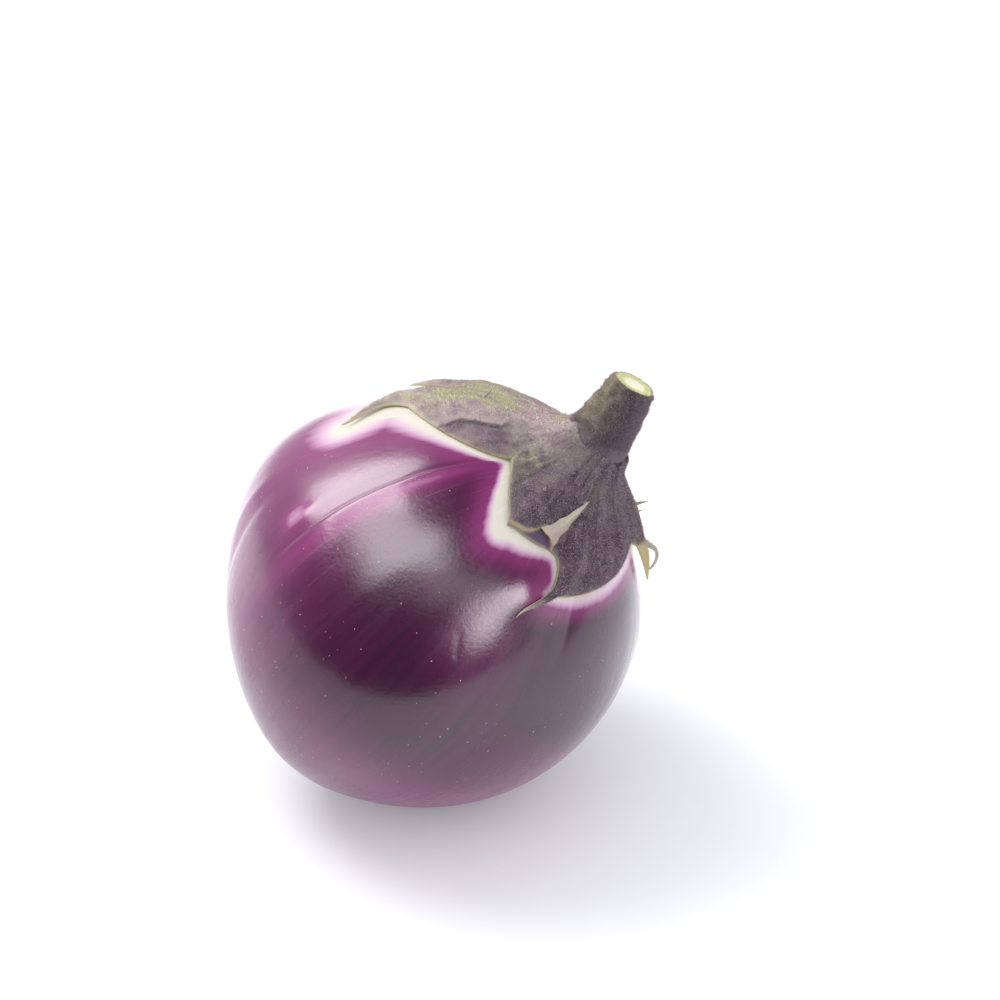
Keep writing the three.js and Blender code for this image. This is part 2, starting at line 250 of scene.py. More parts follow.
class CalyxSettings(bpy.types.PropertyGroup):
    edge: length_of("Edge", "Thickness at the margin of a sepal", 1.0)
    rise: length_of("Rise", "How much thicker a sepal is away from its margin", 2.9)
    falloff: length_of("Falloff", "Distance over which it thickens", 8.5)
    collar: length_of("Collar", "Height of the collar round the stalk", 6.2)
    collar_width: length_of("Collar width", "Distance over which the collar falls away", 4.2)
    felt_length: length_of("Felt length", "Length of a hair of the felt", 0.62)
    felt_count: count_of("Hairs", "Hairs on the calyx", 62000)
    dusk: colour_of("Dusk", "Grey violet of the felted sepals", "#53384a")
    shade: colour_of("Shade", "Darker violet between the veins", "#3d2e3c")
    mauve: colour_of("Mauve", "Paler felt uphill and round the stalk", "#c8bab7")
    olive: colour_of("Olive", "Green patches", "#ced096")
    rim: colour_of("Rim", "Thin margin of a sepal", "#cabe88")


class StalkSettings(bpy.types.PropertyGroup):
    seat_radius: length_of("Seat radius", "Radius where the stalk stands in the calyx", 7.9)
    felt_count: count_of("Hairs", "Hairs on the stalk", 9000)
    bark: colour_of("Bark", "Brownish violet of the stalk", "#341f2a")
    pale: colour_of("Pale side", "Beige green of the stalk's shaded side", "#9a8f72")
    pith: colour_of("Pith", "Middle of the cut end", "#f2efdc")
    cortex: colour_of("Cortex", "Green ring of the cut end", "#c3c884")


class StageSettings(bpy.types.PropertyGroup):
    camera_turn: angle_of("Camera turn", "Azimuth of the camera from -Y towards +X", 7.8)
    camera_height: angle_of("Camera elevation", "Angle of the camera above the floor", 30)
    camera_distance: length_of("Camera distance", "From the camera to the middle of the fruit", 650)
    floor_front: length_of("Floor front", "How far the floor reaches in front of the fruit", 200)


def turn(start, end):
    """The shortest turn from one azimuth to another, in degrees."""
    return (end - start + 180) % 360 - 180


def bell(x, width):
    return np.exp(-((x / width) ** 2))


def smooth(x, start, end):
    k = np.clip((x - start) / (end - start), 0, 1)
    return k * k * (3 - 2 * k)


def unit(vectors):
    return vectors / np.maximum(np.linalg.norm(vectors, axis=-1, keepdims=True), 1e-9)


def noise(points, cell, seed):
    """Smooth random values from -1 to 1 that change over about one cell."""
    side = 24
    lattice = np.random.default_rng(seed).uniform(-1, 1, (side, side, side))
    scaled = np.asarray(points) / cell
    base = np.floor(scaled).astype(int)
    part = scaled - base
    part = part * part * (3 - 2 * part)
    total = 0
    for corner in itertools.product((0, 1), repeat=3):
        place = (base + corner) % side
        weight = np.prod(np.where(corner, part, 1 - part), axis=-1)
        total = total + weight * lattice[place[..., 0], place[..., 1], place[..., 2]]
    return total


def spot(lat, az, latitude, azimuth, high, wide):
    """A soft patch round a place of the fruit, 1 in its middle."""
    return bell(lat - latitude, high) * bell(turn(azimuth, az), wide)


def along_skin(latitude, degrees):
    """A turn about the axis as a distance along the skin, in millimetres."""
    return degrees * np.sin(np.radians(latitude)) * MM_PER_DEGREE


def at_azimuth(azimuth, out, height):
    a = np.radians(azimuth)
    return np.stack(np.broadcast_arrays(np.sin(a) * out, -np.cos(a) * out, height), -1)


def to_row(fruit, points):
    """Points of the fruit's axis frame, in the row frame: leaning downhill, above the rest spot."""
    c, s = math.cos(fruit.lean), math.sin(fruit.lean)
    x, y, z = points[..., 0], points[..., 1], points[..., 2]
    return np.stack([x * c + z * s, y, z * c - x * s + fruit.centre_height / MM], -1)


def fold_depth(fold, latitude, azimuth):
    aside = turn(fold["azimuth"], azimuth)
    width = np.where(aside > 0, fold["steep"], fold["gentle"])
    along = smooth(latitude, fold["start"], fold["start"] + 14)
    along = along * (1 - smooth(latitude, fold["end"] - 40, fold["end"]))
    lip = fold["lip"] * smooth(aside, -0.4, 1.2) * np.exp(-np.maximum(aside, 0) / fold["lip_wide"])
    return along * (fold["depth"] * np.exp(-np.abs(aside) / width) - lip)


def skin(fruit, latitude, azimuth):
    """The fruit's plain surface in its axis frame, as the solid has it."""
    side, up = np.sin(np.radians(latitude)), np.cos(np.radians(latitude))
    swell = PLAIN_SWELL
    for lobe in LOBES:
        swell = swell + lobe["swell"] * bell(turn(lobe["azimuth"], azimuth), lobe["wide"])
    half = np.where(up > 0, fruit.stalk_half, fruit.blossom_half) / MM
    points = at_azimuth(azimuth, fruit.radius / MM * side + swell * side * side, half * up)
    relief = 0
    for bump in SWELLS:
        patch = spot(latitude, azimuth, bump["latitude"], bump["azimuth"], bump["high"], bump["wide"])
        relief = relief + bump["swell"] * patch
    for fold in FOLDS:
        relief = relief - fold_depth(fold, latitude, azimuth)
    scar = np.radians(180 - latitude) * fruit.blossom_half / MM
    relief = relief - SCAR["deep"] * bell(scar, SCAR["wide"])
    return points + unit(points) * np.asarray(relief)[..., None]


def calyx_edge(azimuth, shading=False):
    """For each azimuth: its sepal, the turn from that sepal's middle, and the latitude where the calyx ends.

    shading leaves out the awns that lie too lightly on the skin to bleach it.
    """
    azimuth = np.asarray(azimuth, float)
    which = np.zeros(azimuth.shape, int)
    aside_of, end = np.zeros(azimuth.shape), np.full(azimuth.shape, -1.0)
    for i, sepal in enumerate(SEPALS):
        aside = turn(sepal["azimuth"], azimuth)
        for notch, power, sign in ((NOTCHES[i - 1], sepal["before"], -1), (NOTCHES[i], sepal["after"], 1)):
            reach = abs(turn(sepal["azimuth"], notch["azimuth"]))
            mine = (aside * sign >= 0) & (np.abs(aside) <= reach + 1e-6) & (end < 0)
            share = np.clip(1 - np.abs(aside) / reach, 0, 1)
            blade = (sepal["lobe"] - notch["latitude"]) * share**power
            long = (sepal["tip"] - sepal["lobe"]) * (sepal["shade"] if shading else 1)
            awn = long * np.clip(1 - np.abs(aside) / (AWN_WIDTH * sepal["slim"]), 0, 1) ** 1.3
            end = np.where(mine, notch["latitude"] + blade + awn, end)
            which = np.where(mine, i, which)
            aside_of = np.where(mine, aside, aside_of)
    return which, aside_of, end


def of_sepal(which, name):
    return np.array([sepal[name] for sepal in SEPALS], float)[which]


def collar_latitude(fruit, stalk):
    return math.degrees(math.asin((stalk.seat_radius / MM + SKIN_GAP) / (fruit.radius / MM)))


def calyx_point(fruit, calyx, stalk, azimuth, latitude, layer, margin=None):
    """A point of the calyx, at a share of its thickness from the skin outwards.

    margin is its distance from the calyx's outline, in millimetres. It gives thin edges and wrinkles.
    """
    which, aside, end = calyx_edge(azimuth)
    tip, lobe = of_sepal(which, "tip"), of_sepal(which, "lobe")
    start = collar_latitude(fruit, stalk)
    radius = fruit.radius / MM
    swept = of_sepal(which, "sweep") * smooth(latitude, tip - SWEEP_LENGTH, tip)
    share = (latitude - start) / (end - start)
    inward = np.radians(end - latitude) * radius
    from_collar = np.radians(latitude - start) * radius
    keel = bell(aside - of_sepal(which, "ridge"), KEEL["wide"])
    thin = 0 if margin is None else 0.68 * np.exp(-margin)
    inward = inward if margin is None else margin
    thick = (
        calyx.edge / MM * (1 - thin)
        + calyx.rise / MM * (1 - np.exp(-inward / (calyx.falloff / MM)))
        + calyx.collar / MM * np.exp(-from_collar / (calyx.collar_width / MM))
        + KEEL["height"] * keel * smooth(share, 0, 0.25) * (1 - smooth(share, 0.75, 1))
    )
    raised = of_sepal(which, "lift") * smooth(latitude, lobe - 12, tip) ** 1.5
    points = skin(fruit, latitude, azimuth + swept * bell(aside, SWEEP_WIDTH))
    if margin is not None:
        # Wrinkles run from the collar to the sepals' ends and fade at the margin. The collar climbs the
        # stalk.
        along = at_azimuth(azimuth, 22, latitude * 0.16)
        wrinkle = 0.4 * noise(along, 2.6, 31) + 0.24 * noise(along, 1.2, 32) + 0.5 * noise(points, 5.5, 33)
        wrinkle = wrinkle + 0.16 * noise(points, 1.4, 34) + ridge_face(azimuth, latitude)[0]
        thick = thick + layer * wrinkle * smooth(margin, 0, 2.5)
        thick = thick - layer * 0.7 * beyond_line(azimuth, latitude)[0]
        climb = 2.2 + 1.3 * noise(at_azimuth(azimuth, 7, 0), 2.6, 35)
        thick = thick + layer * climb * np.exp(-from_collar / 1.4)
    outward = unit(points)
    beside = smooth(from_collar, 0, COLLAR_TURN)[..., None]
    way = unit(np.array([0, 0, 1.0]) * (1 - beside) + outward * beside)
    return points + way * (SKIN_GAP + raised + layer * thick)[..., None]


def ridge_face(azimuth, latitude):
    """The uphill sepal's crease: its height, the distance downhill from it, and how present it is."""
    lats, azs = np.array(RIDGE_LINE).T
    aside = along_skin(latitude, turn(np.interp(latitude, lats, azs), azimuth))
    near = smooth(latitude, lats[0], lats[0] + 6) * (1 - smooth(latitude, lats[-1] - 3, lats[-1]))
    height = np.where(aside < 0, np.exp(aside / 3.5), np.exp(-np.maximum(aside, 0) / 0.5))
    return near * height, aside, near


def beyond_line(azimuth, latitude):
    """How far a place is past the front sepal's pale line, from 0 to 1, and how near to the line itself."""
    azs, lats = np.array(PALE_LINE).T
    past = latitude - np.interp(azimuth, azs, lats)
    near = smooth(azimuth, azs[0], azs[0] + 2) * (1 - smooth(azimuth, azs[-1] - 2, azs[-1]))
    return smooth(past, -0.3, 0.5) * near, bell(past + 0.1, 0.5) * near


def make_piece(name, points, faces, fruit, materials, attributes=None, face_material=None):
    """A mesh object from points of the axis frame, in millimetres, with values or vectors at its points."""
    mesh = bpy.data.meshes.new(name)
    mesh.from_pydata((to_row(fruit, np.asarray(points)) * MM).tolist(), [], faces)
    for key, values in (attributes or {}).items():
        values = np.asarray(values, np.float32)
        kind = "FLOAT" if values.ndim == 1 else "FLOAT_VECTOR"
        made = mesh.attributes.new(key, kind, "POINT")
        made.data.foreach_set("value" if values.ndim == 1 else "vector", values.ravel())
    for material in materials:
        mesh.materials.append(material)
    if face_material is not None:
        mesh.polygons.foreach_set("material_index", np.asarray(face_material, np.int32))
    mesh.shade_smooth()
    mesh.update()
    made = bpy.data.objects.new(name, mesh)
    bpy.context.scene.collection.objects.link(made)
    return made


def settle(piece, node):
    """Ties a finished piece to the body and hides the solid that it stands for."""
    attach(piece, "root")
    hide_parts(node)


def ring_faces(rings, steps, closed=False):
    """Quads between rings of equal length. closed joins the last ring to the first."""
    faces = []
    for i in range(rings if closed else rings - 1):
        here, there = i * steps, ((i + 1) % rings) * steps
        for j in range(steps):
            nxt = (j + 1) % steps
            faces.append((here + j, there + j, there + nxt, here + nxt))
    return faces


def capped_tube(rings, sides):
    """Outward faces of a tube of rings, with a face across each end."""
    faces = [tuple(reversed(face)) for face in ring_faces(rings, sides)]
    return [*faces, tuple(range(sides)), tuple(reversed(range((rings - 1) * sides, rings * sides)))]


def add_node(tree, kind, inputs=None, **settings):
    """Adds a node with its settings. An input is a value or another node's output."""
    made = tree.nodes.new(kind)
    for name, value in settings.items():
        setattr(made, name, value)
    for key, value in (inputs or {}).items():
        if isinstance(value, bpy.types.NodeSocket):
            tree.links.new(value, made.inputs[key])
        else:
            made.inputs[key].default_value = value
    return made


def math_of(tree, operation, *inputs, clamp=False):
    made = add_node(tree, "ShaderNodeMath", dict(enumerate(inputs)), operation=operation, use_clamp=clamp)
    return made.outputs[0]


def vector_of(tree, operation, *inputs, output="Vector"):
    made = add_node(tree, "ShaderNodeVectorMath", dict(enumerate(inputs)), operation=operation)
    return made.outputs[output]


def ranged(tree, value, start, end, low=0.0, high=1.0, soft=False):
    """A value taken from one range to another and kept inside it."""
    inputs = dict(enumerate((value, start, end, low, high)))
    kind = "SMOOTHSTEP" if soft else "LINEAR"
    return add_node(tree, "ShaderNodeMapRange", inputs, interpolation_type=kind).outputs[0]


def mixed(tree, share, first, second):
    """A colour between two, which are linear colours or outputs."""
    first, second = (c if isinstance(c, bpy.types.NodeSocket) else (*c, 1) for c in (first, second))
    return add_node(tree, "ShaderNodeMix", {0: share, 6: first, 7: second}, data_type="RGBA").outputs[2]


def ramped(tree, value, stops):
    """A colour from a ramp with its stops: (place, linear colour)."""
    made = add_node(tree, "ShaderNodeValToRGB", {"Fac": value})
    elements = made.color_ramp.elements
    while len(elements) > 1:
        elements.remove(elements[-1])
    for i, (place, colour) in enumerate(stops):
        element = elements[0] if i == 0 else elements.new(place)
        element.position, element.color = place, (*colour, 1)
    return made.outputs["Color"]


def attribute(tree, name, output="Fac"):
    return add_node(tree, "ShaderNodeAttribute", attribute_name=name).outputs[output]


def cloudy(tree, place, scale, detail, roughness=0.5):
    """Noise from 0 to 1, with scale waves to a unit of place."""
    inputs = {"Vector": place, "Scale": scale, "Detail": detail, "Roughness": roughness}
    return add_node(tree, "ShaderNodeTexNoise", inputs).outputs["Fac"]


def bumped(tree, height, distance, strength):
    inputs = {"Height": height, "Distance": distance, "Strength": strength}
    return add_node(tree, "ShaderNodeBump", inputs).outputs["Normal"]


def new_material(name):
    """A material, its cleared tree and the place on the object, in metres."""
    material = bpy.data.materials.new(name)
    material.use_nodes = True
    tree = material.node_tree
    tree.nodes.clear()
    return material, tree, add_node(tree, "ShaderNodeTexCoord").outputs["Object"]


def finish_material(tree, shader_inputs):
    shader = add_node(tree, "ShaderNodeBsdfPrincipled", shader_inputs)
    add_node(tree, "ShaderNodeOutputMaterial", {"Surface": shader.outputs["BSDF"]})


def skin_material(fruit):
    # Waxy fruit skin: a clear gloss over pigment that is cream beside the calyx and nearly black where it is
    # ripe. Fine streaks run from pole to pole and break up the reflections.
    material, tree, place = new_material("Waxy_aubergine_skin")
    tone, mark, cork = (attribute(tree, name) for name in ("tone", "mark", "cork"))
    grain = attribute(tree, "grain", "Vector")
    # Pigment streaks about 2 mm wide and 30 mm long. The grain attribute is in millimetres.
    sway = math_of(tree, "MULTIPLY_ADD", cloudy(tree, grain, 0.5, 1.0), 0.16, -0.08)
    # Mottling about 1.4 mm across, which frays the edge of the bleached band.
    fray = math_of(tree, "MULTIPLY_ADD", cloudy(tree, place, 700.0, 2.0), 0.03, -0.015)
    # Streaks hardly show in the cream skin, so they grow with the tone.
    faint = ranged(tree, tone, 0.0, 0.5, 0.05, 1.0)
    moved = math_of(tree, "MULTIPLY_ADD", math_of(tree, "ADD", sway, fray), faint, tone)
    stops = [
        (0.0, fruit.cream),
        (0.04, fruit.cream),
        (0.14, hex_linear("#dfc6d3")),
        (0.26, fruit.lilac),
        (0.42, fruit.magenta),
        (0.68, fruit.purple),
        (0.95, fruit.aubergine),
    ]
    colour = mixed(tree, mark, ramped(tree, moved, stops), hex_linear("#a08f9b"))
    # The wax is rougher along some streaks, and over the scratch and the scar.
    rough = ranged(tree, cloudy(tree, grain, 0.4, 1.0), 0.3, 0.7, fruit.gloss - 0.03, fruit.gloss + 0.05)
    worn = math_of(tree, "MULTIPLY_ADD", mark, 0.35, rough)
    # A fine grain in the wax, about 1 mm across and a few hundredths of a millimetre high.
    fine = cloudy(tree, place, 1000.0, 5.0, 0.6)
    finish_material(
        tree,
        {
            "Base Color": mixed(tree, cork, colour, hex_linear("#8c735a")),
            "Roughness": math_of(tree, "MULTIPLY_ADD", cork, 0.5, worn),
            "IOR": 1.46,
            "Coat Weight": 0.3,
            "Coat Roughness": 0.14,
            "Normal": bumped(tree, fine, 0.0001, 0.62),
        },
    )
    return material


def felt_colour(tree, place, shade, dusk, speck_code):
    """Mottled felt: dark between the hairs, with pale flecks of about 0.35 mm."""
    ground = mixed(tree, ranged(tree, cloudy(tree, place, 260.0, 5.0, 0.65), 0.35, 0.65), shade, dusk)
    flecks = ranged(tree, cloudy(tree, place, 2600.0, 2.0), 0.56, 0.72, 0.0, 0.55)
    return mixed(tree, flecks, ground, hex_linear(speck_code))


def finish_felt(tree, colour, roughness, sheen, normal):
    finish_material(
        tree,
        {
            "Base Color": colour,
            "Roughness": roughness,
            "Specular IOR Level": 0.3,
            "Sheen Weight": sheen,
            "Sheen Roughness": 0.45,
            "Normal": normal,
        },
    )


def calyx_material(calyx):
    # Felted sepal: a dull grey violet leaf skin under short star hairs, olive where the pigment is thin,
    # with a thin straw-coloured margin.
    material, tree, place = new_material("Felted_sepal")
    felt = felt_colour(tree, place, calyx.shade, calyx.dusk, "#a08c9b")
    # The paler felt includes a painted highlight above the uphill crease, and is darker in it as painted
    # shade.
    mauve = mixed(tree, attribute(tree, "bloom_and_painted_light"), felt, calyx.mauve)
    # The green is broken up into patches of about 4 mm.
    broken = ranged(tree, cloudy(tree, place, 230.0, 3.0), 0.36, 0.6, 0.35, 1.0)
    amount = math_of(tree, "MULTIPLY", attribute(tree, "olive"), broken)
    green = mixed(tree, amount, mauve, calyx.olive)
    bare = mixed(tree, attribute(tree, "violet"), green, hex_linear("#5b3f66"))
    colour = mixed(tree, attribute(tree, "rim"), bare, calyx.rim)
    # Veins and dimples of about 0.5 mm under the felt.
    normal = bumped(tree, cloudy(tree, place, 1900.0, 4.0), 0.00025, 0.7)
    finish_felt(tree, colour, 0.86, 0.25, normal)
    return material


def bark_material(stalk):
    # Green stalk skin turning woody: brownish violet with a beige green flank and pale flecks of felt.
    material, tree, place = new_material("Ribbed_stalk_skin")
    felt = felt_colour(tree, place, hex_linear("#3d2f37"), stalk.bark, "#8f7b87")
    dusty = mixed(tree, attribute(tree, "bloom_and_painted_light"), felt, hex_linear("#7d7079"))
    colour = mixed(tree, attribute(tree, "flank"), dusty, stalk.pale)
    # Cracks and corky grains of about 0.7 mm.
    normal = bumped(tree, cloudy(tree, place, 1500.0, 4.0), 0.0003, 0.8)
    finish_felt(tree, colour, 0.82, 0.2, normal)
    return material


def pith_material(stalk):
    # Knife-cut stalk end: moist white pith inside a yellow green ring, with torn fibres of about 0.6 mm.
    material, tree, place = new_material("Cut_stalk_pith")
    torn = cloudy(tree, place, 1600.0, 4.0)
    sway = math_of(tree, "MULTIPLY_ADD", torn, 0.24, -0.12)
    moved = math_of(tree, "ADD", attribute(tree, "ring"), sway)
    stops = [
        (0.0, stalk.pith),
        (0.5, hex_linear("#ece9c4")),
        (0.68, stalk.cortex),
        (0.86, hex_linear("#d5d49a")),
        (1.0, hex_linear("#9b9460")),
    ]
    normal = bumped(tree, torn, 0.0004, 0.8)
    finish_material(tree, {"Base Color": ramped(tree, moved, stops), "Roughness": 0.6, "Normal": normal})
    return material


def hair_material(name, code, warm_code):
    # Star hairs of the felt: dry and pale, warmer over the green patches. Painted glints: a few random hairs
    # are painted bright, and the others are painted dim or lit with how pale the felt is.
    material, tree, _ = new_material(name)
    pale, warm = hex_linear(code), hex_linear(warm_code)
    dim, lit = (tuple(share * c for c in pale) for share in (0.10, 0.92))
    green = tuple(0.6 * c for c in warm)
    sharp = math_of(tree, "POWER", attribute(tree, "shine"), 2.6)
    olive = attribute(tree, "olive")
    least = mixed(tree, attribute(tree, "bloom_and_painted_light"), dim, lit)
    tinted = mixed(tree, math_of(tree, "MULTIPLY", olive, 0.8, clamp=True), least, green)
    colour = mixed(tree, sharp, tinted, mixed(tree, olive, pale, warm))
    finish_material(tree, {"Base Color": colour, "Roughness": 0.7, "Specular IOR Level": 0.35})
    return material


def pore_material():
    # Corky breathing pores of the skin: dry pale dots.
    material, tree, _ = new_material("Corky_pores")
    finish_material(tree, {"Base Color": (*hex_linear("#cdbfc9"), 1), "Roughness": 0.7})
    return material


def distance_to(line, points, chosen=None, far=60.0):
    """The distance of points from a line given by closely spaced places."""
    tree = KDTree(len(line))
    for i, place in enumerate(line):
        tree.insert(Vector(place), i)
    tree.balance()
    reach = np.full(len(points), far)
    for i in range(len(points)) if chosen is None else np.nonzero(chosen)[0]:
        reach[i] = tree.find(Vector(points[i]))[2]
    return reach


def pale_distance(fruit, points, latitude, azimuth):
    """Distance of skin points from the edge that shades them, in millimetres, below zero under it."""
    around = np.linspace(-180, 180, 1441)[:-1]
    which, aside, end = calyx_edge(around, shading=True)
    sweep, tip = of_sepal(which, "sweep"), of_sepal(which, "tip")
    swept = sweep * smooth(end, tip - SWEEP_LENGTH, tip) * bell(aside, SWEEP_WIDTH)
    edge = skin(fruit, end, around + swept)
    reach = distance_to(edge, points, latitude < 100)
    under = latitude < np.interp(azimuth, *self_ordered(around + swept, end)) - 0.3
    return np.where(under, -reach, reach)


def self_ordered(azimuths, values):
    """Azimuths brought into -180 to 180 and sorted, with their values, and closed at both ends."""
    azimuths = turn(0, azimuths)
    order = np.argsort(azimuths)
    azimuths, values = azimuths[order], values[order]
    azimuths = np.concatenate([[azimuths[-1] - 360], azimuths, [azimuths[0] + 360]])
    return azimuths, np.concatenate([[values[-1]], values, [values[0]]])


class EGGPLANT_OT_fruit(bpy.types.Operator):
    """Make the fruit's glossy skin, with its lobes, folds, welts and bleached band"""

    bl_idname = "eggplant.fruit"
    bl_label = "Fruit"

    def execute(self, context):
        fruit = context.scene.eggplant_fruit
        latitudes = np.linspace(0, 180, SKIN_RINGS + 1)[1:-1]
        # The columns stand closer together at the deep fold.
        aside = np.linspace(-180, 180, SKIN_STEPS + 1)[:-1]
        azimuths = FOLDS[0]["azimuth"] + aside * (1 - 0.75 * bell(aside, 10))
        lat, az = np.meshgrid(latitudes, azimuths, indexing="ij")
        lat, az = lat.ravel(), turn(0, az.ravel())
        plain = skin(fruit, lat, az)
        out = unit(plain)
        # Broad unevenness of a tenth of a millimetre, and faint ridges from pole to pole.
        grain = np.concatenate([at_azimuth(az, 48, 0)[:, :2], (lat * 0.06)[:, None]], 1)
        relief = 0.2 * noise(out, 0.33, 11) + 0.07 * noise(out, 0.15, 12)
        ridges = 0.04 * noise(grain, 6.0, 13)
        relief += ridges * smooth(lat, 20, 40) * (1 - smooth(lat, 150, 175))
        for welt in WELTS:
            aside = along_skin(lat, turn(welt["azimuth"], az))
            relief += welt["height"] * bell(aside, welt["wide"]) * bell(lat - welt["latitude"], welt["long"])
        mark, groove = self.scratch(lat, az)
        relief -= groove
        points = plain + out * relief[:, None]
        poles = [skin(fruit, np.array([a]), np.array([0.0]))[0] for a in (0.0, 180.0)]
        points = self.flatten(fruit, np.concatenate([points, poles]))
        top, bottom = len(points) - 2, len(points) - 1
        faces = ring_faces(SKIN_RINGS - 1, SKIN_STEPS)
        last = (SKIN_RINGS - 2) * SKIN_STEPS
        for j in range(SKIN_STEPS):
            nxt = (j + 1) % SKIN_STEPS
            faces.append((top, j, nxt))
            faces.append((last + j, bottom, last + nxt))
        pored = 0.2 + smooth(lat, 48, 75) * (0.7 + 1.6 * noise(unit(plain), 0.2, 15))
        pored = np.maximum(pored, 0) * (lat > calyx_edge(az)[2] + 4)
        # The corky scar that the flower left at the blossom end.
        from_scar = np.radians(180 - lat) * fruit.blossom_half / MM * (1 + 0.35 * noise(plain, 2.5, 16))
        cork = 1 - smooth(from_scar, 2.2, 3.6)
        # Each attribute's values over the rings, then at the stalk's pole and at the blossom end.
        parts = {
            "tone": (self.tone(fruit, plain, lat, az), [0.0, 0.7]),
            "mark": (mark, [0.0, 0.0]),
            "cork": (cork, [0.0, 1.0]),
            "grain": (grain, [[0, 0, 0], [0, 0, 10.8]]),
            "scatter": (pored, [0.0, 0.2]),
        }
        attributes = {key: np.concatenate(values) for key, values in parts.items()}
        settle(make_piece("skin", points, faces, fruit, [skin_material(fruit)], attributes), "fruit")
        return {"FINISHED"}

    @staticmethod
    def flatten(fruit, points):
        """Pulls what is below the floor up to it, towards the fruit's middle."""
        height = fruit.centre_height / MM
        below = to_row(fruit, points)[:, 2]
        share = np.where(below < 0, height / (height - below), 1.0)
        return points * share[:, None]

    @staticmethod
    def scratch(lat, az):
        """The healed scratch: how pale the skin is there, and how deep."""
        (lat_a, az_a), (lat_b, az_b) = SCRATCH["start"], SCRATCH["end"]
        across, along = turn(az_a, az) * 0.8, lat - lat_a
        end = np.array([(az_b - az_a) * 0.8, lat_b - lat_a])
        share = np.clip((across * end[0] + along * end[1]) / (end @ end), 0, 1)
        away = np.hypot(across - share * end[0], along - share * end[1])
        line = bell(away, SCRATCH["wide"])
        rub = spot(lat, az, SCUFF["latitude"], SCUFF["azimuth"], SCUFF["along"], SCUFF["across"])
        return 0.24 * line + 0.04 * rub, SCRATCH["deep"] * line

    @staticmethod
    def tone(fruit, points, lat, az):
        """How deep the pigment is: 0 is cream and 1 is nearly black."""
        away = pale_distance(fruit, points, lat, az)
        around, widths, turnings = np.array(PALE_BAND).T
        wide = np.interp(az, around, widths) * (1 + 0.14 * noise(points, 3.0, 41))
        wide *= 1 - 0.8 * bell(turn(-92, az), 16) * smooth(lat, 50, 62)
        turning = np.interp(az, around, turnings)
        # Paler uphill, underneath and downhill. All sides are alike at the blossom end.
        side = 1 - smooth(lat, 125, 168)
        ripe = 0.95 + 0.05 * noise(unit(points), 0.5, 42)
        ripe -= 0.46 * bell(turn(-96, az), 44) * side
        ripe -= 0.38 * smooth(lat, 92, 122) * (0.5 + 0.5 * side * bell(turn(50, az), 55))
        ripe -= 0.36 * bell(turn(62, az), 32) * smooth(lat, 72, 94) * side
        for strength, *patch in PALER_PATCHES:
            ripe -= strength * spot(lat, az, *patch)
        # The paler skin round the high welt is a painted highlight.
        ripe = np.maximum(ripe, 0.46) - 0.35 * spot(lat, az, *WELT_PAINTED_HIGHLIGHT)
        ripe -= (0.34 + 0.14 * (1 - smooth(lat, 42, 60))) * spot(lat, az, *LIP_PATCH)
        ripe = np.maximum(ripe, 0.31)
        start = smooth(away, wide - 0.6, wide + turning)
        deepen = smooth(away, wide + turning * 0.6, wide + turning + 8 - 4.5 * bell(turn(48, az), 34))
        blush = 0.11 * bell(turn(48, az), 32) * (1 - start)
        return np.clip(BRIGHT_TONE * start + (ripe - BRIGHT_TONE) * deepen + blush, 0, 1)


def folded_tip(fruit, calyx, stalk):
    """The folded-back point of the front sepal: points and faces."""
    azimuths, latitudes = np.array(FOLDED_TIP["azimuths"], float), np.array(FOLDED_TIP["latitudes"])
    feet = calyx_point(fruit, calyx, stalk, azimuths, latitudes, 1.0)
    stands = 0.25 + FOLDED_TIP["stand"] * np.arange(len(feet)) / 2
    return blade(feet + unit(feet) * stands[:, None], FOLDED_TIP["width"], FOLDED_TIP["thick"])


def curled_tip(fruit):
    """The dry point of the downhill sepal, which stands off the fruit and curls back: points and faces."""
    latitudes, azimuths, stands = np.array(CURLED_TIP["path"]).T
    feet = skin(fruit, latitudes, azimuths)
    return blade(feet + unit(feet) * stands[:, None], CURLED_TIP["width"], CURLED_TIP["thick"])


def blade(feet, width, thick):
    """A thin ridged leaf point that narrows along a smooth line through its feet."""
    share = np.linspace(0, 1, TIP_RINGS)[:, None]
    marks = np.linspace(0, 1, len(feet))
    curves = np.polyfit(marks, feet, len(feet) - 1)
    path = np.stack([np.polyval(curve, share[:, 0]) for curve in curves.T], -1)
    way = unit(np.gradient(path, axis=0))
    out = unit(path)
    side = unit(np.cross(way, out))
    half = width / 2 * (0.35 + 0.65 * (1 - share)) * (1 - share) ** 0.5 * (1 + 0.1 * np.sin(share * 19))
    points = []
    for layer in (1, -1):
        for k in np.linspace(-layer, layer, TIP_STEPS)[:-1]:
            roof = thick * (1.7 * (1 - abs(k)) + 0.25 * math.sin(5 * k)) + layer * 0.22 * (1 - abs(k))
            points.append(path + side * half * k + out * (roof * (1 - 0.4 * share)))
    return np.stack(points, 1).reshape(-1, 3), capped_tube(TIP_RINGS, len(points))


def prickle(fruit, calyx, stalk, spec):
    """A curved, tapering prickle with its root in the calyx."""
    place = [np.array([float(spec[key])]) for key in ("azimuth", "latitude")]
    foot = calyx_point(fruit, calyx, stalk, *place, 1.0)[0]
    onward = unit(calyx_point(fruit, calyx, stalk, place[0], place[1] + 2, 1.0)[0] - foot)
    out = unit(foot)
    lean = math.radians(spec["lean"])
    way = unit(out * math.cos(lean) + onward * math.sin(lean))
    side = unit(np.cross(way, onward))
    other = np.cross(side, way)
    points = []
    for share in np.linspace(0, 1, PRICKLE_RINGS):
        middle = foot + way * (-1.0 + share * (spec["length"] + 1.0)) + onward * 0.35 * share**2
        radius = 0.52 * (1 - share) ** 0.85 + 0.02
        for j in range(PRICKLE_STEPS):
            angle = 2 * math.pi * j / PRICKLE_STEPS
            points.append(middle + radius * (side * math.cos(angle) + other * math.sin(angle)))
    return np.array(points), capped_tube(PRICKLE_RINGS, PRICKLE_STEPS)


